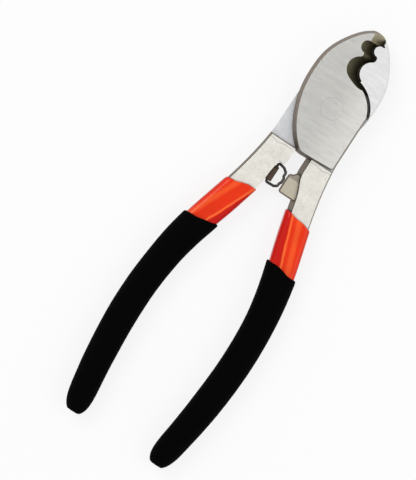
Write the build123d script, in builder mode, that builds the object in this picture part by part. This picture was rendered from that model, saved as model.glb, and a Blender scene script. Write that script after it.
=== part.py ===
from build123d import *
import os
from math import cos, hypot, radians, sin, sqrt

# Bypass cable cutter, closed and lying on its back. +Y runs to the nose, +Z to the front.
# The origin is on the pivot axis, in the ground rear face. Both halves are one forging: the
# rear half is the front half turned over about the tool's long axis. All sizes in millimetres.

# ---- head ----
HEAD_THICKNESS = 10.0        # both laps together, ground flat front and back
LAYER = HEAD_THICKNESS / 2   # one lap
NOSE = (0, 38.1)
JAW_EDGE = [(2.4, 37.6), (5.6, 35.6), (10.4, 30), (15.3, 20), (16.4, 9.5), (15.6, 0.5), (14.1, -5),
            (9.4, -15)]
TOE = (2.9, -22.3)           # lower corner of the leaf, beside the gap between the shanks
SIDE_X = 15.4                # the lap's other side, down to the shank
LAP_DRAFT = 1.25             # the forged wall leans in this far over one layer
HEEL_DRAFT = 1.0             # and this far round the heel
HEEL_RADIUS = 16.0           # the leaf's heel turns about the pivot inside the other jaw
HEEL_LOW_Y = 4.7
HEEL_TOP_X = 3.6
HEEL_END_Y = 13.9            # the cutting side runs out into the heel here
JAW_FOOT_Y = 5.0             # the jaw beside the leaf ends here
JAW_GAP = 0.4                # between a leaf and the jaw it nests in
BEVEL_RUN = (5.5, 1.0)       # how far the ground cutting bevel leans over one layer

# ---- pivot rivet ----
RIVET_RADIUS = 4.0
RIVET_HEAD_RADIUS = 4.8
RUNNING_GAP = 0.05           # the front half turns on the rivet

# ---- shanks and tangs ----
SHANK_THICKNESS = 6.0
STEP_Y = -22.2               # where a lap steps up to the shank
SHANK_TOP_Y = -19.0          # the shank runs up into the leaf's root
GAP_WALL_X = 3.2             # inner wall beside the gap under the pivot
OUTER_DRAFT = 0.8            # the outer wall leans in from the middle to each face
INNER_LEAN = 1.8             # the inner wall leans one way, over the whole thickness
OUTER_EDGE = [(16.75, -30), (21.1, -50), (26.3, -69), (29.8, -93), (30.2, -118), (24.6, -155)]
INNER_EDGE = [(18.2, -155), (21.7, -120), (20.8, -96), (18.3, -81), (14.7, -69), (9.3, -50), (5.2, -35)]

# ---- stop lug, latch strip and latch wire ----
LUG_THICKNESS = 3.0
LUG_OUTLINE = [(8, -30), (3.4, -30.3), (2.3, -31.8), (0.5, -32.3), (0.5, -41.3), (9, -41.3)]
LUG_CORNER = 1.2
LUG_CHAMFER = 0.6
NOTCH_OUTLINE = [(-6.3, -30.3), (-7.1, -36.0), (-7.4, -41.2), (0, -41.2), (0, -30.3)]
STRIP_OUTLINE = [(-8.4, -32.7), (-4.4, -32.7), (-4.4, -39.6), (-9.4, -39.6)]
WIRE_RADIUS = 0.6
WIRE_HOLE_RADIUS = 0.65
WIRE_BEND = 0.7
PIN_DEPTH = 3.0              # straight end of the wire past its bend
HOLE_END_ROOM = 0.3
LATCH_TOP = (-5.4, -31.0)    # the latch axis runs through these two bends of the wire
LATCH_FOOT = (-6.1, -40.55)
LATCH_LOOP = [(-2.6, -31.6), (-0.85, -32.9), (-0.8, -34.7), (-0.25, -35.5), (-0.25, -37.4),
              (-0.8, -38.2), (-0.85, -39.5), (-2.2, -40.4)]

# ---- grips ----
DIP_SIDE = 0.6               # the coat's thickness beside the tang
DIP_FACE = 1.2               # and over its faces
DIP_ROUND = 2.2
DIP_TOP_LEFT_Y = -43.6       # the coat's slanted top edge, at x = 0 and at x = TRIM_X
DIP_TOP_RIGHT_Y = -51.6
SLEEVE_THICKNESS = 12.0
SLEEVE_ROUND = 5.4
SLEEVE_TOP_LEFT_Y = -65.6
SLEEVE_TOP_RIGHT_Y = -70.8
SLEEVE_CENTRE = [(18.2, -62, LAYER), (23.1, -80, LAYER), (26.05, -112, LAYER),
                 (24.3, -140, LAYER), (20.3, -166.4, LAYER)]
SLEEVE_WIDTHS = [(0, 14.8), (0.08, 14.4), (0.18, 13.9), (0.3, 13.4), (0.48, 13.2), (0.7, 12.8),
                 (0.87, 12.0), (0.94, 11.0), (0.98, 8.4), (1, 4.6)]    # along the centreline
SLEEVE_TIP_ASPECT = 0.94     # the sleeve thins with its width towards its end
TRIM_X = 40                  # trimming outlines run out to here, clear of the tool
TRIM_Y = NOSE[1] + 4         # trimming outlines run up to here, past the nose

PARTING = Plane.XY.offset(LAYER)                # where the two laps slide on each other
FRONT = Plane.XY.offset(HEAD_THICKNESS)         # the ground front face
BEHIND = Plane((0, 0, LAYER), x_dir=(-1, 0, 0), z_dir=(0, 0, -1))   # seen from the back
SPINE = Axis((0, 0, LAYER), (0, 1, 0))


def turned_over(shape):
    """The same piece as the other half carries it."""
    return shape.rotate(SPINE, 180)


def drawn_in(points, amount):
    """The points moved to the right of their way along the line, by amount."""
    moved = []
    for i, (x, y) in enumerate(points):
        before = points[max(i - 1, 0)]
        after = points[min(i + 1, len(points) - 1)]
        run, rise = after[0] - before[0], after[1] - before[1]
        length = hypot(run, rise)
        moved.append((x + rise / length * amount, y - run / length * amount))
    return moved


def jaw_edge(side, inset):
    """The jaw's outer edge from the nose to the toe, on the left (-1) or the right (1)."""
    nose = (0, NOSE[1] - inset)
    points = [nose, *drawn_in([NOSE, *JAW_EDGE, TOE], inset)[1:]]
    return Spline(*[(side * x, y) for x, y in points])


def cutting_side(shift):
    """The leaf's cutting side from above the nose to the end of the big notch."""
    def moved(*points):
        return [(x + shift[0], y + shift[1]) for x, y in points]

    hook = Polyline(*moved((-2.05, TRIM_Y), (-2.0, 33), (-1.25, 32.7)))
    small_notch = ThreePointArc(*moved((-1.25, 32.7), (-4.45, 29.9), (-1.75, 27.2)))
    cusp = ThreePointArc(*moved((-1.75, 27.2), (-1.35, 26.1), (-1.95, 25)))
    return hook, ThreePointArc(*moved((-1.95, 25), (-4.85, 20), (-1.75, 15.3)))


def leaf_outline(inset, heel_inset):
    """A leaf before its cutting side is ground."""
    left = jaw_edge(-1, inset)
    toe = ThreePointArc(left @ 1, (-1.5 + 0.3 * inset, inset - 23.0), (0.6, inset - 23.2))
    bottom = Line(toe @ 1, (13.8 - 0.3 * inset, inset - 22.5))
    side_x = SIDE_X - inset
    corner_middle = (side_x - 0.45 + 0.25 * inset, 0.85 * inset - 22.05)
    corner = ThreePointArc(bottom @ 1, corner_middle, (side_x + 0.05, 0.5 * inset - 20.9))
    radius = HEEL_RADIUS - heel_inset
    heel_low = (sqrt(radius ** 2 - HEEL_LOW_Y ** 2), HEEL_LOW_Y)
    heel_middle = (radius * cos(radians(45)), radius * sin(radians(45)))
    heel_top = (HEEL_TOP_X, sqrt(radius ** 2 - HEEL_TOP_X ** 2))
    side = Spline(corner @ 1, (side_x, -14), (side_x - 0.05, -5), heel_low)
    heel = ThreePointArc(side @ 1, heel_middle, heel_top)
    root = Line(heel @ 1, JAW_EDGE[2])
    Spline(root @ 1, JAW_EDGE[1], left @ 0, tangents=((-1, 1.3), (-1, 0)))


def handle_outline(outer_grow, inner_grow):
    """Shank and tang of the right-hand handle, grown on its outer and inner side."""
    top_right = (SIDE_X + 0.05 + outer_grow, SHANK_TOP_Y)
    gap_x = GAP_WALL_X - inner_grow
    outer = Spline(top_right, *[(x + outer_grow, y) for x, y in OUTER_EDGE])
    inner_points = [(x - inner_grow, y) for x, y in INNER_EDGE]
    tip = (21.3, INNER_EDGE[0][1] - 3 - outer_grow)
    ThreePointArc(outer @ 1, tip, inner_points[0])
    inner = Spline(*inner_points, (gap_x, -28), tangents=((0.1, 1), (0, 1)))
    Polyline(inner @ 1, (gap_x, SHANK_TOP_Y), top_right)


def trim_above(left_y, right_y):
    """Closed outline of everything above a slanted line across the handle."""
    Polyline((0, left_y), (TRIM_X, right_y), (TRIM_X, 0), (0, 0), close=True)


def forged_half():
    """One half as the front one lies: leaf in front on the left, shank down the right side."""
    # the room that the jaw leaves for the other leaf, whose widest outline is its cutting edge
    with BuildSketch() as leaf_room:
        with BuildLine():
            hook, big_notch = cutting_side(BEVEL_RUN)
            Polyline(big_notch @ 1, (0, 10), (-TRIM_X, 10), (-TRIM_X, TRIM_Y), hook @ 0)
        make_face()
        Circle(HEEL_RADIUS)
        offset(amount=JAW_GAP)
    # the jaw's outer part, in the rear layer, hollowed for the other half's leaf
    with BuildPart() as jaw:
        for depth, inset in ((0, 0), (LAYER, LAP_DRAFT)):
            with BuildSketch(BEHIND.offset(depth)):
                with BuildLine():
                    edge = jaw_edge(1, inset)
                    Polyline(edge @ 1, (0, 0), edge @ 0)
                make_face()
        loft(ruled=True)
        with BuildSketch(BEHIND):
            add(leaf_room.sketch)
            with Locations((0, JAW_FOOT_Y)):
                Rectangle(2 * TRIM_X, 2 * TRIM_X, align=(Align.CENTER, Align.MAX))
        extrude(amount=LAYER, mode=Mode.SUBTRACT)
    # shank and tang, drafted both ways on the outside and one way on the inside
    with BuildPart() as handle:
        for height, outer_inset, inner_inset in (
            (-SHANK_THICKNESS / 2, OUTER_DRAFT, 0),
            (0, 0, INNER_LEAN / 2),
            (SHANK_THICKNESS / 2, OUTER_DRAFT, INNER_LEAN),
        ):
            with BuildSketch(PARTING.offset(height)):
                with BuildLine():
                    handle_outline(-outer_inset, -inner_inset)
                make_face()
        loft(ruled=True)
    with BuildPart() as half:
        # leaf, in the front layer, with forged draft round it
        for plane, inset, heel_inset in ((PARTING, 0, 0), (FRONT, LAP_DRAFT, HEEL_DRAFT)):
            with BuildSketch(plane):
                with BuildLine():
                    leaf_outline(inset, heel_inset)
                make_face()
        loft(ruled=True)
        # cutting bevel, ground at a slant through the layer
        with BuildSketch(FRONT):
            with BuildLine():
                hook, big_notch = cutting_side((0, 0))
                tail = Spline(
                    big_notch @ 1, (2.25, 13.7), (5.2, 13.25), (7.9, HEEL_END_Y),
                    tangents=(big_notch % 1, (1, 0.5)),
                )
                Polyline(tail @ 1, (TRIM_X, HEEL_END_Y), (TRIM_X, TRIM_Y), hook @ 0)
            make_face()
        extrude(
            amount=hypot(*BEVEL_RUN, LAYER) * 1.05, dir=(*BEVEL_RUN, -LAYER), mode=Mode.SUBTRACT
        )
        add(jaw.part)
        add(handle.part)
        # the rear of the lap is clear for the other half's leaf, down to the step
        with BuildSketch(BEHIND):
            with Locations((0, STEP_Y)):
                Rectangle(2 * TRIM_X, -STEP_Y, align=(Align.CENTER, Align.MIN))
        extrude(amount=LAYER, mode=Mode.SUBTRACT)
    return half.part


def rivet_outline(grow):
    """Half section of the rivet, from the rear face to the front face, wider by grow."""
    radius = RIVET_RADIUS + grow
    head = RIVET_HEAD_RADIUS + grow
    flare = head - radius
    Polyline(
        (0, 0), (head, 0), (radius, flare), (radius, HEAD_THICKNESS - flare),
        (head, HEAD_THICKNESS), (0, HEAD_THICKNESS), close=True,
    )


def grip_coat():
    """Outer shape of the dipped coat on the right-hand tang, up to its slanted top edge."""
    with BuildPart() as dip:
        with BuildSketch(PARTING):
            with BuildLine():
                handle_outline(DIP_SIDE, DIP_SIDE)
            make_face()
        extrude(amount=SHANK_THICKNESS / 2 + DIP_FACE, both=True)
        fillet(dip.faces().filter_by(Plane.XY).edges(), radius=DIP_ROUND)
        with BuildSketch():
            with BuildLine():
                trim_above(DIP_TOP_LEFT_Y, DIP_TOP_RIGHT_Y)
            make_face()
        extrude(amount=HEAD_THICKNESS, mode=Mode.SUBTRACT)
    return dip.part


def grip_sleeve():
    """Outer shape of the right-hand sleeve, through rounded sections along its centreline."""
    centre = Spline(*SLEEVE_CENTRE)
    with BuildPart() as sleeve:
        for station, width in SLEEVE_WIDTHS:
            height = min(SLEEVE_THICKNESS, width * SLEEVE_TIP_ASPECT)
            with BuildSketch(Plane(centre @ station, x_dir=(0, 0, 1), z_dir=centre % station)):
                RectangleRounded(height, width, SLEEVE_ROUND * height / SLEEVE_THICKNESS)
        loft()
    return sleeve.part


blank = forged_half()
rear_blank = turned_over(blank)

with BuildPart() as lug:
    with BuildSketch(PARTING):
        with BuildLine():
            Polyline(*LUG_OUTLINE, close=True)
        make_face()
        fillet(vertices().sort_by(Axis.X)[:2], radius=LUG_CORNER)
    extrude(amount=LUG_THICKNESS / 2, both=True)
    chamfer(lug.faces().filter_by(Plane.XY).edges(), length=LUG_CHAMFER)

with BuildPart() as front_half:
    add(blank)
    # stop lug between the handles
    add(lug.part)
    # countersunk hole for the rivet
    with BuildSketch(Plane.XZ):
        with BuildLine():
            rivet_outline(RUNNING_GAP)
        make_face()
    revolve(axis=Axis.Z, mode=Mode.SUBTRACT)

with BuildPart() as pivot_rivet:
    with BuildSketch(Plane.XZ):
        with BuildLine():
            rivet_outline(0)
        make_face()
    revolve(axis=Axis.Z)

latch_top = Vector(*LATCH_TOP, LAYER)
latch_foot = Vector(*LATCH_FOOT, LAYER)
latch_down = (latch_foot - latch_top).normalized()
pin_length = PIN_DEPTH + WIRE_BEND

with BuildPart() as latch_bail:
    with BuildLine() as wire_path:
        FilletPolyline(
            latch_top + latch_down * pin_length,
            latch_top,
            *[(x, y, LAYER) for x, y in LATCH_LOOP],
            latch_foot,
            latch_foot - latch_down * pin_length,
            radius=WIRE_BEND,
        )
    with BuildSketch(Plane(wire_path.line @ 0, z_dir=wire_path.line % 0)):
        Circle(WIRE_RADIUS)
    sweep()

with BuildPart() as rear_half:
    add(rear_blank)
    # notch in the shank, and the strip left in it for the latch
    with BuildSketch(PARTING):
        with BuildLine():
            Polyline(*NOTCH_OUTLINE, close=True)
        make_face()
    extrude(amount=SHANK_THICKNESS / 2, both=True, mode=Mode.SUBTRACT)
    with BuildSketch(PARTING):
        with BuildLine():
            Polyline(*STRIP_OUTLINE, close=True)
        make_face()
    extrude(amount=LUG_THICKNESS / 2, both=True)
    # the wire's two holes, along the latch axis
    for bend, inward in ((latch_top, latch_down), (latch_foot, -latch_down)):
        with BuildSketch(Plane(bend, z_dir=inward)):
            Circle(WIRE_HOLE_RADIUS)
        extrude(amount=pin_length + HOLE_END_ROOM, mode=Mode.SUBTRACT)
    # hole that the rivet is pressed in
    with BuildSketch(Plane.XZ):
        with BuildLine():
            rivet_outline(0)
        make_face()
    revolve(axis=Axis.Z, mode=Mode.SUBTRACT)

coat = grip_coat()
with BuildPart() as front_grip_dip:
    add(coat)
    add(front_half.part, mode=Mode.SUBTRACT)

with BuildPart() as rear_grip_dip:
    add(turned_over(coat))
    add(rear_half.part, mode=Mode.SUBTRACT)

outer_sleeve = grip_sleeve()
with BuildPart() as front_grip_sleeve:
    add(outer_sleeve)
    with BuildSketch(Plane.XY.offset(-LAYER)):
        with BuildLine():
            trim_above(SLEEVE_TOP_LEFT_Y, SLEEVE_TOP_RIGHT_Y)
        make_face()
    extrude(amount=4 * LAYER, mode=Mode.SUBTRACT)
    add(coat, mode=Mode.SUBTRACT)

with BuildPart() as rear_grip_sleeve:
    add(turned_over(front_grip_sleeve.part))

os.makedirs("parts", exist_ok=True)
front_half.part.label = "front_half"
export_step(front_half.part, "parts/front_half.step")
rear_half.part.label = "rear_half"
export_step(rear_half.part, "parts/rear_half.step")
pivot_rivet.part.label = "pivot_rivet"
export_step(pivot_rivet.part, "parts/pivot_rivet.step")
latch_bail.part.label = "latch_bail"
export_step(latch_bail.part, "parts/latch_bail.step")
front_grip_dip.part.label = "front_grip_dip"
export_step(front_grip_dip.part, "parts/front_grip_dip.step")
rear_grip_dip.part.label = "rear_grip_dip"
export_step(rear_grip_dip.part, "parts/rear_grip_dip.step")
front_grip_sleeve.part.label = "front_grip_sleeve"
export_step(front_grip_sleeve.part, "parts/front_grip_sleeve.step")
rear_grip_sleeve.part.label = "rear_grip_sleeve"
export_step(rear_grip_sleeve.part, "parts/rear_grip_sleeve.step")
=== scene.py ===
import math

import bpy
from mathutils import Matrix, Vector, noise
from mathutils.bvhtree import BVHTree


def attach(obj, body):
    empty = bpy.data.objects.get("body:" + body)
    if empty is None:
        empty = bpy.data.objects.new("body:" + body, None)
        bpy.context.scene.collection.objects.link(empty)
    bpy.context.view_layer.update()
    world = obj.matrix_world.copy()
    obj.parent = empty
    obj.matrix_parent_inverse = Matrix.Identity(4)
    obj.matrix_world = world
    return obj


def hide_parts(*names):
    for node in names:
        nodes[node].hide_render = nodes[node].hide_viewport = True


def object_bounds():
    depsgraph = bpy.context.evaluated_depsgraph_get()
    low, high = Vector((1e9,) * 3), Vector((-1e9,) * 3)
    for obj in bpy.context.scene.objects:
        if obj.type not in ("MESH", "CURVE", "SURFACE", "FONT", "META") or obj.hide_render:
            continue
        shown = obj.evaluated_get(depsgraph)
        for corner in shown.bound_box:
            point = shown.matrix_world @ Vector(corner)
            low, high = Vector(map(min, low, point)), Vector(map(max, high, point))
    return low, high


# Bypass cable cutter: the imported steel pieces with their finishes, and new meshes for the dipped
# coats and the foam sleeves. Metres, in the row frame: +Y to the nose, +Z to the front face.
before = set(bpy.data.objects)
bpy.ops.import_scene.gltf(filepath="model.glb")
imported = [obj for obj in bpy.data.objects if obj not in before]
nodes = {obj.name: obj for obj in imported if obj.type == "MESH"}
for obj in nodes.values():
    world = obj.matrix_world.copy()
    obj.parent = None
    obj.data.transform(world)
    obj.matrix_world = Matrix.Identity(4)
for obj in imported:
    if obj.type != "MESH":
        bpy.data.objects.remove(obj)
cad_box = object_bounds()

MM = 0.001
PARTING_MM = 5.0                # height of the plane between the two laps
PARTING_Z = PARTING_MM * MM


# ---------------------------------------------------------------- node materials
class Finish:
    """A node material. Each method adds nodes and gives the output socket."""

    def __init__(self, name, **shader_values):
        self.material = bpy.data.materials.new(name)
        self.material.use_nodes = True
        self.tree = self.material.node_tree
        self.tree.nodes.clear()
        self.shader = self.tree.nodes.new("ShaderNodeBsdfPrincipled")
        output = self.tree.nodes.new("ShaderNodeOutputMaterial")
        self.tree.links.new(self.shader.outputs[0], output.inputs["Surface"])
        for socket, value in shader_values.items():
            self.shader.inputs[socket.replace("_", " ")].default_value = value
        place = self.tree.nodes.new("ShaderNodeTexCoord")
        self.place_mm = self.scaled(place.outputs["Object"], 1 / MM)
        self.x, self.y, self.z = self.split(self.place_mm)
        self.normal_x, _, normal_z = self.split(place.outputs["Normal"])
        self.flatness = self.math("ABSOLUTE", normal_z)

    def put(self, socket, value):
        """Links or sets one of the shader's sockets."""
        self.feed(self.shader.inputs[socket], value)

    def feed(self, socket, value):
        """Links a socket to another node's output, or sets it to a plain value."""
        if isinstance(value, bpy.types.NodeSocket):
            self.tree.links.new(value, socket)
        else:
            socket.default_value = value

    def add(self, kind, *values, **settings):
        """A new node, with values fed to its inputs in order and settings to its properties."""
        node = self.tree.nodes.new(kind)
        for key, value in settings.items():
            setattr(node, key, value)
        for socket, value in zip(node.inputs, values):
            if value is not None:
                self.feed(socket, value)
        return node

    def math(self, operation, *values):
        return self.add("ShaderNodeMath", *values, operation=operation).outputs[0]

    def split(self, vector):
        """The x, y and z of a vector."""
        return self.add("ShaderNodeSeparateXYZ", vector).outputs[:3]

    def step(self, value, low, high):
        """0 below low and 1 above high, smooth between. It falls if low is the larger one."""
        node = self.add("ShaderNodeMapRange", value, interpolation_type="SMOOTHSTEP")
        ends = (low, high, 0.0, 1.0) if low < high else (high, low, 1.0, 0.0)
        for socket, end in zip(node.inputs[1:5], ends):
            socket.default_value = end
        return node.outputs[0]

    def apart(self, first, second):
        """The difference of two values, without its sign."""
        return self.math("ABSOLUTE", self.math("SUBTRACT", first, second))

    def near(self, value, place, gone, full):
        """1 where value is within full of place, 0 where it is further than gone."""
        return self.step(self.apart(value, place), gone, full)

    def distance(self, x, y):
        """The distance of (x, y) from the pivot axis."""
        square = self.math("MULTIPLY_ADD", y, y, self.math("MULTIPLY", x, x))
        return self.math("SQRT", square)

    def both(self, *masks):
        """The product of masks: 1 only where each of them is 1."""
        product = masks[0]
        for mask in masks[1:]:
            product = self.math("MULTIPLY", product, mask)
        return product

    def mix(self, mask, first, second):
        """first where the mask is 0 and second where it is 1; colours or numbers."""
        colour = any(
            isinstance(v, tuple) or getattr(v, "type", "") in ("RGBA", "VECTOR")
            for v in (first, second)
        )
        node = self.add("ShaderNodeMix", data_type="RGBA" if colour else "FLOAT")
        sockets = [s for s in node.inputs if s.enabled]
        for socket, value in zip(sockets, (mask, first, second)):
            if isinstance(value, tuple):
                value = (*value, 1)
            self.feed(socket, value)
        return [s for s in node.outputs if s.enabled][0]

    def grain(self, scale, stretch=(1, 1, 1), turn=0.0, detail=4.0, rough=0.6, seed=0.0):
        """Noise from 0 to 1 with features of about 1/scale mm, stretched after a turn about Z."""
        mapping = self.add("ShaderNodeMapping", self.place_mm, vector_type="POINT")
        mapping.inputs["Rotation"].default_value = (0, 0, math.radians(turn))
        mapping.inputs["Location"].default_value = (seed, seed * 0.7, seed * 0.3)
        mapping.inputs["Scale"].default_value = stretch
        texture = self.add("ShaderNodeTexNoise")
        self.feed(texture.inputs["Vector"], mapping.outputs[0])
        texture.inputs["Scale"].default_value = scale
        texture.inputs["Detail"].default_value = detail
        texture.inputs["Roughness"].default_value = rough
        return texture.outputs[0]

    def around(self, value, middle, spread):
        """A noise value, with its own middle at 0.5, moved to middle plus or minus spread."""
        shifted = self.math("SUBTRACT", value, 0.5)
        return self.math("MULTIPLY_ADD", shifted, 2.0 * spread, middle)

    def scaled(self, vector, factor):
        """A vector or a colour times a number."""
        node = self.add("ShaderNodeVectorMath", vector, operation="SCALE")
        self.feed(node.inputs["Scale"], factor)
        return node.outputs[0]

    def bump(self, height, distance_mm, strength=1.0, rounding_mm=0.0, sharp=0.0):
        """Surface relief, over edges rounded by rounding_mm except where the mask sharp is 1."""
        node = self.add("ShaderNodeBump")
        self.feed(node.inputs["Height"], height)
        node.inputs["Distance"].default_value = distance_mm * MM
        node.inputs["Strength"].default_value = strength
        if rounding_mm:
            bevel = self.add("ShaderNodeBevel", rounding_mm * MM, samples=4)
            plain = self.add("ShaderNodeNewGeometry").outputs["Normal"]
            self.feed(node.inputs["Normal"], self.mix(sharp, bevel.outputs[0], plain))
        self.put("Normal", node.outputs[0])

    def crevice(self, reach_mm):
        """1 in the open, towards 0 in corners and gaps."""
        node = self.add("ShaderNodeAmbientOcclusion", samples=6)
        node.inputs["Distance"].default_value = reach_mm * MM
        return node.outputs["AO"]


def cover(name, material):
    """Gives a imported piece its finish."""
    nodes[name].data.materials.clear()
    nodes[name].data.materials.append(material)


# ---------------------------------------------------------------- forged and ground steel
GROUND = (0.535, 0.53, 0.505)
# painted reflection: the jaw's ground face, near white where it reflects the light
JAW_REFLECTION_PAINTED = (0.74, 0.74, 0.745)
LAP_BLUE = (0.57, 0.575, 0.59)
SHANK = (0.67, 0.65, 0.60)
WALL = (0.21, 0.18, 0.15)
# painted light: the jaw's walls are painted bright, as lit from the right
JAW_WALL_LIT = (0.62, 0.615, 0.60)
BEVEL = (0.15, 0.135, 0.085)
TIP_BEVEL_LIT = (0.36, 0.32, 0.215)
# painted shade: near black for the walls and parting faces deep in the cut
CUT_SHADE = (0.09, 0.08, 0.055)
LUG = (0.46, 0.42, 0.34)
LATCH_STRIP = (0.075, 0.055, 0.04)

# places on the steel, in mm
SHANK_STEP_Y = -22.2            # where the laps step down to the shanks
WASHOUT_Y = -23.4               # the faint mark below that step
LUG_SHADE_Y = -33.7             # painted shade darkens the lug and the latch's strip above this
CUT_START_Y = 12.85             # the walls beside the cut are above this
TIP_BEVEL_Y = 32.8              # the bevel's tip facet above this is painted lighter, as lit
HEAD_HALF = 5.0                 # height of the head's faces from the parting plane
LUG_HALF = 1.5                  # the same for the lug and the strip
RIVET_SEAT_RADIUS = 6.2         # edges stay sharp and free of the painted corner shade inside this


def steel(name, cut_side, lug_colour, line_turn):
    """Finish of one half. Its walls in the cut face cut_side, -1 or 1; the half with 1 has its
    jaw in the rear layer, the other in the front layer."""
    finish = Finish(name, Metallic=1.0)
    x, y, z = finish.x, finish.y, finish.z
    flat = finish.step(finish.flatness, 0.93, 0.985)

    # ground faces of the head: fine lines across the tool, broader streaks and a few pits
    lines = finish.grain(3.2, (0.08, 1.5, 1), turn=line_turn, detail=3, rough=0.7)
    streaks = finish.grain(0.35, (0.25, 1.6, 1), turn=line_turn + 4, detail=3, seed=7)
    pits = finish.step(finish.grain(1.1, detail=2, seed=3), 0.285, 0.25)
    ground_value = finish.math(
        "ADD", finish.around(lines, 1.0, 0.22), finish.around(streaks, 0.0, 0.16)
    )
    ground_value = finish.mix(pits, ground_value, 0.6)

    # satin shanks: mottled, with soft blotches
    mottle = finish.grain(1.3, detail=6, rough=0.65, seed=11)
    blotch = finish.grain(0.22, detail=3, seed=5)
    satin_value = finish.math(
        "ADD", finish.around(mottle, 1.0, 0.20), finish.around(blotch, 0.0, 0.16)
    )

    # forged walls and bevels
    scale_mark = finish.grain(0.9, detail=6, rough=0.7, seed=2)
    bevel_lines = finish.grain(2.2, (1.6, 0.25, 1), turn=10, seed=9)

    # masks, each 1 in the region that it is named after
    from_parting = finish.apart(z, PARTING_MM)
    from_middle = finish.math("ABSOLUTE", x)
    head_level = finish.step(from_parting, HEAD_HALF - 0.4, HEAD_HALF - 0.1)
    lap_level = finish.step(from_parting, 0.4, 0.2)
    lug_level = finish.near(from_parting, LUG_HALF, 0.3, 0.1)
    lower = finish.step(y, SHANK_STEP_Y + 0.2, SHANK_STEP_Y - 0.2)
    beside_cut = finish.both(
        finish.step(y, CUT_START_Y - 0.35, CUT_START_Y + 0.35),
        finish.step(from_middle, 11.5, 10.5),
    )
    jaw_layer = finish.both(
        finish.step(z, PARTING_MM + 0.2 * cut_side, PARTING_MM - 0.2 * cut_side),
        finish.step(y, 1.0, 2.0),
    )
    near_pivot = finish.step(
        finish.distance(x, y), RIVET_SEAT_RADIUS + 0.4, RIVET_SEAT_RADIUS - 0.4
    )

    # painted light: the leaf is a little brighter towards its right side, as if lit from the right
    leaf = finish.scaled(GROUND, finish.mix(finish.step(x, -3.0, 13.0), 1.0, 1.24))
    # painted reflection: the jaw's face is brighter than the leaf's
    ground = finish.mix(jaw_layer, leaf, JAW_REFLECTION_PAINTED)
    ground = finish.scaled(ground, ground_value)
    satin = finish.scaled(finish.mix(lower, LAP_BLUE, SHANK), satin_value)

    # the sharp step from the lap to the shank, with a painted line of shade along it, and the mark
    # below it, which sags at its outer end
    sag = finish.both(finish.step(from_middle, 8.4, 11.0), finish.step(from_middle, 14.2, 11.8))
    washout_y = finish.math("MULTIPLY_ADD", sag, -0.7, WASHOUT_Y)
    washout = finish.both(
        finish.near(y, washout_y, 0.32, 0.1), finish.step(from_middle, 4.2, 5.0)
    )
    step_shade = finish.near(y, SHANK_STEP_Y, 0.4, 0.15)
    satin = finish.scaled(satin, finish.mix(washout, 1.0, 0.72))
    satin = finish.scaled(satin, finish.mix(step_shade, 1.0, 0.3))

    # the faces, from the head down to the lug
    face = finish.mix(head_level, satin, ground)
    # painted shade: the parting faces beside the cut are darkened, as they lie in the gap
    face = finish.mix(finish.both(lap_level, beside_cut), face, CUT_SHADE)
    lug = finish.scaled(lug_colour, finish.around(mottle, 1.0, 0.25))
    # painted shade on the upper part of the lug and the strip
    lug_shade = finish.step(y, LUG_SHADE_Y - 0.3, LUG_SHADE_Y + 0.3)
    lug = finish.scaled(lug, finish.mix(lug_shade, 1.0, 0.62))
    face = finish.mix(lug_level, face, lug)

    # the forged walls, which are darker along both edges of a handle
    # painted light: the jaw layer's walls are painted bright as lit; the others keep the dark
    # forged colour
    wall = finish.mix(jaw_layer, WALL, JAW_WALL_LIT)
    wall = finish.scaled(wall, finish.around(scale_mark, 1.0, 0.4))
    along_edge = finish.both(finish.step(from_parting, 1.7, 2.7), lower)
    wall = finish.scaled(wall, finish.mix(along_edge, 1.15, 0.5))

    # the walls that face the cut, painted near black as shade, and the slanted bevel among them
    in_cut = finish.both(
        beside_cut, finish.step(finish.math("MULTIPLY", finish.normal_x, cut_side), -0.02, 0.02)
    )
    # painted light: the bevel's tip facet is lighter, as it catches more light
    tip_facet_lit = finish.step(y, TIP_BEVEL_Y - 0.4, TIP_BEVEL_Y + 0.4)
    bevel = finish.mix(tip_facet_lit, BEVEL, TIP_BEVEL_LIT)
    bevel = finish.mix(finish.step(finish.flatness, 0.05, 0.12), CUT_SHADE, bevel)
    bevel = finish.scaled(bevel, finish.around(bevel_lines, 1.0, 0.5))
    side = finish.mix(in_cut, wall, bevel)

    colour = finish.mix(flat, side, face)
    # painted shade: the colour darkens to 0.35 in corners and gaps, except near the pivot
    corners = finish.math("MAXIMUM", finish.step(finish.crevice(1.2), 0.35, 0.95), near_pivot)
    colour = finish.mix(corners, finish.scaled(colour, 0.35), colour)
    finish.put("Base Color", colour)

    polish = finish.both(flat, head_level)
    roughness = finish.mix(
        polish, finish.around(mottle, 0.48, 0.12), finish.around(lines, 0.36, 0.14)
    )
    finish.put("Roughness", finish.mix(flat, finish.around(scale_mark, 0.58, 0.12), roughness))
    relief = finish.mix(polish, mottle, lines)
    relief = finish.mix(flat, scale_mark, relief)
    finish.bump(relief, 0.03, 0.5, rounding_mm=0.12, sharp=near_pivot)
    return finish.material


front_steel = steel("forged_steel_front", 1, LUG, 12)
rear_steel = steel("forged_steel_rear", -1, LATCH_STRIP, 24)
cover("front_half", front_steel)
cover("rear_half", rear_steel)
cover("pivot_rivet", front_steel)


# ---------------------------------------------------------------- latch wire
WIRE_BLACK = (0.055, 0.05, 0.045)
WIRE_WORN = (0.34, 0.32, 0.29)


def wire_finish():
    """Blackened wire with worn bright spots."""
    finish = Finish("wire_steel", Metallic=1.0)
    wear = finish.grain(1.6, detail=5, rough=0.7)
    dark = finish.scaled(WIRE_BLACK, finish.around(wear, 1.0, 0.5))
    bright = finish.step(wear, 0.6, 0.72)
    finish.put("Base Color", finish.mix(bright, dark, WIRE_WORN))
    finish.put("Roughness", finish.around(wear, 0.34, 0.12))
    finish.bump(finish.grain(4.0, (1, 0.3, 1), detail=4), 0.02, 0.5)
    return finish.material


cover("latch_bail", wire_finish())


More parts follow.
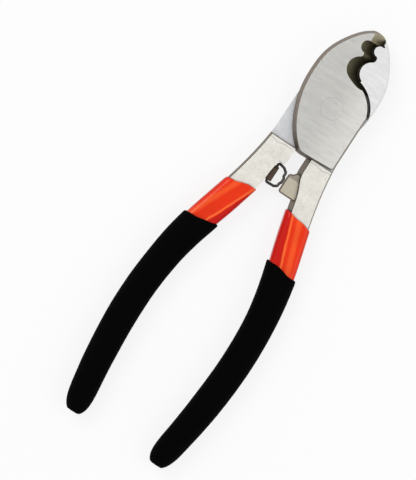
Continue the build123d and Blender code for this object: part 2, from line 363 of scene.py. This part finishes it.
# ---------------------------------------------------------------- grips
ORANGE = (0.62, 0.024, 0.001)
# painted shade on the coat's sides and its inner slope
ORANGE_SHADED = (0.45, 0.004, 0.0003)
# the coat's pale tone, also used for painted highlights
ORANGE_PALE_AND_HIGHLIGHT = (0.78, 0.13, 0.025)
FOAM = (0.0007, 0.0007, 0.0008)
FOAM_PORE = (0.0004, 0.0004, 0.0004)
FOLD_START_Y = -50.0


def orange_finish(name, side, fold_x, fold_run, band):
    """Dipped coat. A fold runs down its face from |x| = fold_x at FOLD_START_Y, fold_run outwards
    per mm, with painted shade inwards of it, a painted highlight on its crest and a broader
    painted highlight band further out."""
    finish = Finish(name, Specular_IOR_Level=0.14, Coat_Weight=0.05, Coat_Roughness=0.08)
    cloud = finish.grain(0.12, detail=3)
    fine = finish.grain(1.8, detail=5, seed=4)
    outwards = finish.math("MULTIPLY", finish.x, side)
    down = finish.math("SUBTRACT", FOLD_START_Y, finish.y)
    fold = finish.math("MULTIPLY_ADD", down, fold_run, fold_x)
    past_fold = finish.math("SUBTRACT", outwards, fold)
    wander = finish.around(finish.grain(0.25, (1, 0.4, 1), detail=2, seed=9), 0.0, 0.5)
    past_fold = finish.math("ADD", past_fold, wander)
    # painted shade: the coat's sides, turning away from the front, and its face inwards of the
    # fold are darker
    colour = finish.mix(finish.step(finish.flatness, 0.25, 0.8), ORANGE_SHADED, ORANGE)
    colour = finish.mix(finish.step(past_fold, -0.2, -0.9), colour, ORANGE_SHADED)
    # painted highlights: along the fold's crest and in a broad band further out
    crest_highlight = finish.near(past_fold, 0.1, 0.75, 0.1)
    colour = finish.mix(finish.both(crest_highlight, 0.85), colour, ORANGE_PALE_AND_HIGHLIGHT)
    broad_highlight = finish.near(past_fold, band, 2.0, 0.3)
    colour = finish.mix(finish.both(broad_highlight, 0.4), colour, ORANGE_PALE_AND_HIGHLIGHT)
    pale = finish.both(finish.step(finish.grain(2.6, detail=2, seed=8), 0.66, 0.74), 0.25)
    colour = finish.mix(pale, colour, ORANGE_PALE_AND_HIGHLIGHT)
    finish.put("Base Color", finish.scaled(colour, finish.around(cloud, 1.0, 0.14)))
    finish.put("Roughness", finish.around(fine, 0.24, 0.1))
    slow = finish.grain(0.5, detail=2, seed=6)
    finish.bump(finish.math("MULTIPLY_ADD", fine, 0.12, slow), 0.05, 0.5)
    return finish.material


def foam_finish():
    """Matte black foam with fine open pores."""
    finish = Finish(
        "black_foam", Specular_IOR_Level=0.022, Sheen_Weight=0.004, Sheen_Roughness=0.5
    )
    pores = finish.grain(3.4, detail=3, rough=0.7)
    patch = finish.grain(0.14, detail=4, seed=2)
    open_pore = finish.step(pores, 0.42, 0.30)
    colour = finish.scaled(FOAM, finish.around(patch, 1.0, 0.5))
    finish.put("Base Color", finish.mix(open_pore, colour, FOAM_PORE))
    finish.put("Roughness", finish.around(patch, 0.78, 0.12))
    finish.bump(pores, 0.12, 0.7)
    return finish.material


front_orange = orange_finish("orange_pvc_front", 1, 12.4, 0.367, 3.7)
rear_orange = orange_finish("orange_pvc_rear", -1, 10.2, 0.45, 7.0)
foam = foam_finish()


FAR = 0.1                       # metres from the middle, well outside both grips
SLOPE_RUN = 4 * MM              # the length over which a grip's growth is measured


class Measured:
    """Reads a packed grip's outer shape: its inner and outer sides and its top at each y."""

    def __init__(self, node, side, full_y, tip_y):
        mesh = nodes[node].data
        polygons = [p.vertices[:] for p in mesh.polygons]
        self.tree = BVHTree.FromPolygons([v.co for v in mesh.vertices], polygons)
        self.side = side
        self.full_y = full_y        # the grip is whole from here down
        self.tip_y = tip_y

    def ray(self, x, y, z, direction):
        """The first place that a ray meets."""
        return self.tree.ray_cast(Vector((x, y, z)), Vector(direction))[0]

    def direct(self, y):
        """Inner and outer |x| and the top z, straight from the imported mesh."""
        inner = self.ray(0, y, PARTING_Z, (self.side, 0, 0))
        outer = self.ray(self.side * FAR, y, PARTING_Z, (-self.side, 0, 0))
        middle = (inner.x + outer.x) / 2
        top = self.ray(middle, y, FAR, (0, 0, -1))
        return abs(inner.x), abs(outer.x), top.z

    def at(self, y):
        """The same at any y. Above full_y the sides carry on in a line and the top stays level."""
        if y <= self.full_y:
            return self.direct(y)
        low, high = self.direct(self.full_y - SLOPE_RUN), self.direct(self.full_y)
        reach = (y - self.full_y) / SLOPE_RUN
        grown = [b + (b - a) * reach for a, b in zip(low, high)]
        return grown[0], grown[1], high[2]


RING_POINTS = 72                # round a grip
RINGS = 90                      # from below a grip's top edge to its round end
CROWDING = 1.35                 # above 1, the rings lie closer together towards that end
EDGE_WAVE = 0.35 * MM           # how far the top edge wanders up and down
EDGE_OUTER_X = 25 * MM          # about where the grips' outer sides meet their top edges
CORNERS = ((1, -1), (1, 1), (-1, 1), (-1, -1))


def section_point(i, width, height, corner):
    """Point i of RING_POINTS, evenly spaced round a rectangle with rounded corners from the
    middle of its +x side."""
    half_w, half_h = width / 2, height / 2
    corner = min(corner, half_w * 0.98, half_h * 0.98)
    straight_w, straight_h = 2 * (half_w - corner), 2 * (half_h - corner)
    arc = corner * math.pi / 2
    total = 2 * (straight_w + straight_h) + 4 * arc
    walk = (total * i / RING_POINTS + straight_h / 2) % total
    for quarter, (start_x, start_y) in enumerate(CORNERS):
        end_x, end_y = CORNERS[(quarter + 1) % 4]
        upright = quarter % 2 == 0
        length = straight_h if upright else straight_w
        if walk < length:
            side_x = start_x * (half_w if upright else half_w - corner)
            side_y = start_y * (half_h - corner if upright else half_h)
            along_x, along_y = (end_x - start_x) / 2, (end_y - start_y) / 2
            return side_x + along_x * walk, side_y + along_y * walk
        walk -= length
        if walk < arc or quarter == 3:
            angle = math.pi / 2 * quarter + walk / corner
            return (
                end_x * (half_w - corner) + corner * math.cos(angle),
                end_y * (half_h - corner) + corner * math.sin(angle),
            )
        walk -= arc


def ring_mesh(name, rings, material):
    """A closed mesh through rings of equal length, with a point in the middle of each end."""
    count = len(rings[0])
    vertices = [p for ring in rings for p in ring]
    faces = []
    for r in range(len(rings) - 1):
        for i in range(count):
            j = (i + 1) % count
            faces.append((r * count + i, r * count + j, (r + 1) * count + j, (r + 1) * count + i))
    for ring_start, order in ((0, -1), ((len(rings) - 1) * count, 1)):
        loop = [vertices[ring_start + i] for i in range(count)]
        centre = sum(loop, Vector()) / count
        vertices.append(centre)
        for i in range(count):
            pair = (ring_start + i, ring_start + (i + 1) % count)
            faces.append((*pair[::order], len(vertices) - 1))
    mesh = bpy.data.meshes.new(name)
    mesh.from_pydata(vertices, [], faces)
    mesh.polygons.foreach_set("use_smooth", [True] * len(faces))
    mesh.materials.append(material)
    mesh.validate()
    piece = bpy.data.objects.new(name, mesh)
    bpy.context.scene.collection.objects.link(piece)
    return piece


def wave(angle, side, seed):
    """Slow uneven wave round a grip's top edge, about -1 to 1."""
    spot = Vector((math.cos(angle) * 1.3, math.sin(angle) * 1.3, seed + side))
    return noise.noise(spot) * 1.6


def grip(name, side, shape, top_line, lip, corner, relief, material, seed):
    """One coat or sleeve. lip lists (distance down from the top edge, inset) in mm, from inside
    the top edge to the outer surface."""

    def ring(point_ys, inset):
        """A ring whose points each have their own y, moved inwards by inset mm."""
        points = []
        for i, y in enumerate(point_ys):
            inner, outer, top_z = shape.at(y)
            width, height = outer - inner, 2 * (top_z - PARTING_Z)
            px, pz = section_point(i, 1, height / width, corner / width)
            px, pz = px * width, pz * width
            lift = relief(px / width, pz / height, y, side) * MM
            size = math.hypot(px, pz)
            shrink = (size + lift - inset * MM) / size
            px, pz = px * shrink, pz * shrink
            points.append(Vector((side * ((inner + outer) / 2 + px), y, PARTING_Z + pz)))
        return points

    # the wavy top edge, and the y of each level ring below it
    y_start = top_line(EDGE_OUTER_X) - 3 * MM
    inner, outer, _ = shape.at(y_start)
    edge = []
    for i in range(RING_POINTS):
        angle = 2 * math.pi * i / RING_POINTS
        across = (inner + outer) / 2 + (outer - inner) / 2 * math.cos(angle)
        edge.append(top_line(across) + wave(angle, side, seed) * EDGE_WAVE)
    shares = [1 - (1 - i / RINGS) ** CROWDING for i in range(RINGS)]
    levels = [y_start + (shape.tip_y - y_start) * share for share in shares]

    rings = [ring([y - down * MM for y in edge], inset) for down, inset in lip]
    lip_foot = lip[-1][0] * MM
    for share in (0.35, 0.7):
        rings.append(ring([(y - lip_foot) * (1 - share) + levels[0] * share for y in edge], 0))
    for level in levels:
        rings.append(ring([level] * RING_POINTS, 0))
    return ring_mesh(name, rings, material)


def coat_relief(u, v, y, side):
    """The dipped coat's slow unevenness in mm; u and v run from -0.5 to 0.5 over the section."""
    uneven = noise.noise(Vector((u * 2.4, y / (9 * MM), v * 2 + side * 3)))
    ridge = math.exp(-((u + 0.24) / 0.09) ** 2) * 0.22 * (abs(v) > 0.3)
    hollow = math.exp(-((u - 0.10) / 0.20) ** 2) * -0.10 * (abs(v) > 0.3)
    return 0.07 * uneven + ridge + hollow


def foam_relief(u, v, y, side):
    """The foam's slow and fine unevenness in mm."""
    slow = noise.noise(Vector((u * 1.6, y / (14 * MM), v * 1.6 + side * 5)))
    fine = noise.noise(Vector((u * 9, y / (1.6 * MM), v * 9 + side * 7)))
    return 0.10 * slow + 0.035 * fine


def coat_top(x):
    """y of the coat's slanted top edge at |x|."""
    return -43.6 * MM - x * 0.2


def sleeve_top(x):
    """y of the sleeve's slanted top edge at |x|."""
    return -65.6 * MM - x * 0.13


COAT_LIP = [(0.0, 1.35), (-0.02, 0.75), (0.06, 0.42), (0.28, 0.12), (0.6, 0.0)]
SLEEVE_LIP = [(0.9, 2.2), (0.1, 1.5), (0.0, 0.85), (0.12, 0.35), (0.45, 0.06), (0.9, 0.0)]
COAT_FULL_Y, COAT_END_Y = -53 * MM, -156 * MM
SLEEVE_FULL_Y, SLEEVE_END_Y = -72 * MM, -166.3 * MM
COAT_CORNER, SLEEVE_CORNER = 2.6 * MM, 5.4 * MM

for side, body, half, orange in (
    (1, "front_handle", "front", front_orange), (-1, "rear_handle", "rear", rear_orange)
):
    dip_shape = Measured(half + "_grip_dip", side, COAT_FULL_Y, COAT_END_Y)
    dip = grip(
        half + "_dipped_coat", side, dip_shape, coat_top, COAT_LIP, COAT_CORNER,
        coat_relief, orange, seed=3.0,
    )
    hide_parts(half + "_grip_dip")
    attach(dip, body)
    sleeve_shape = Measured(half + "_grip_sleeve", side, SLEEVE_FULL_Y, SLEEVE_END_Y)
    sleeve = grip(
        half + "_foam_sleeve", side, sleeve_shape, sleeve_top, SLEEVE_LIP, SLEEVE_CORNER,
        foam_relief, foam, seed=8.0,
    )
    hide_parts(half + "_grip_sleeve")
    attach(sleeve, body)


# ---------------------------------------------------------------- floor, lights and camera
FLOOR_GREY = (0.12, 0.12, 0.12)
FLOOR_GLOW = 0.82               # keeps the floor pale and its shadows faint
FLOOR_REACH = 3.0               # metres from the pivot axis to each edge
FLOOR_GAP = 0.2 * MM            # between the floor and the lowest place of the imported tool


def floor_finish():
    """Pale floor with barely uneven grey."""
    finish = Finish("pale_floor", Roughness=0.9, Specular_IOR_Level=0.1)
    cloud = finish.grain(0.004, detail=2)
    finish.put("Base Color", finish.scaled(FLOOR_GREY, finish.around(cloud, 1.0, 0.03)))
    finish.shader.inputs["Emission Color"].default_value = (1, 1, 1, 1)
    finish.shader.inputs["Emission Strength"].default_value = FLOOR_GLOW
    return finish.material


floor_mesh = bpy.data.meshes.new("floor")
floor_z = cad_box[0].z - FLOOR_GAP
floor_mesh.from_pydata(
    [(-FLOOR_REACH, -FLOOR_REACH, floor_z), (FLOOR_REACH, -FLOOR_REACH, floor_z),
     (FLOOR_REACH, FLOOR_REACH, floor_z), (-FLOOR_REACH, FLOOR_REACH, floor_z)],
    [], [(0, 1, 2, 3)],
)
floor_mesh.materials.append(floor_finish())
floor = bpy.data.objects.new("floor", floor_mesh)
bpy.context.scene.collection.objects.link(floor)


def aimed(eye, target, up):
    """Matrix at eye that looks at target, with up towards the top of the view."""
    back = (eye - target).normalized()
    right = up.cross(back).normalized()
    turn = Matrix((right, back.cross(right), back)).transposed().to_4x4()
    return Matrix.Translation(eye) @ turn


VIEW_TURN = math.radians(33.43)         # the tool leans this far in the picture
VIEW_LEAN = -0.08                       # how far along X the camera stands per metre of height
CAMERA_DISTANCE = 1.1
view_up = Vector((-math.sin(VIEW_TURN), math.cos(VIEW_TURN), 0))
view_right = Vector((math.cos(VIEW_TURN), math.sin(VIEW_TURN), 0))
middle = Vector((-12.78, -74.65, PARTING_MM)) * MM


def softbox(name, right, up, height, size, power):
    """A square light placed in the picture's own directions, aimed at the tool."""
    light = bpy.data.lights.new(name, "AREA")
    light.shape = "SQUARE"
    light.size = size
    light.energy = power
    lamp = bpy.data.objects.new(name, light)
    eye = middle + view_right * right + view_up * up + Vector((0, 0, height))
    lamp.matrix_world = aimed(eye, middle, view_up)
    bpy.context.scene.collection.objects.link(lamp)


softbox("key_light", right=-0.55, up=0.75, height=1.1, size=0.7, power=9)
softbox("fill_light", right=0.9, up=-0.2, height=0.9, size=0.8, power=4)

world = bpy.data.worlds.new("studio")
world.use_nodes = True
background = world.node_tree.nodes["Background"]
background.inputs["Color"].default_value = (1, 1, 1, 1)
background.inputs["Strength"].default_value = 0.85
bpy.context.scene.world = world
bpy.context.scene.view_settings.view_transform = "Standard"

camera_data = bpy.data.cameras.new("camera")
camera_data.lens = 195.7
camera_data.sensor_width = 36
camera_data.clip_end = 20
camera = bpy.data.objects.new("camera", camera_data)
towards_camera = Vector((VIEW_LEAN, 0, 1)).normalized()
camera.matrix_world = aimed(middle + towards_camera * CAMERA_DISTANCE, middle, view_up)
bpy.context.scene.collection.objects.link(camera)
bpy.context.scene.camera = camera
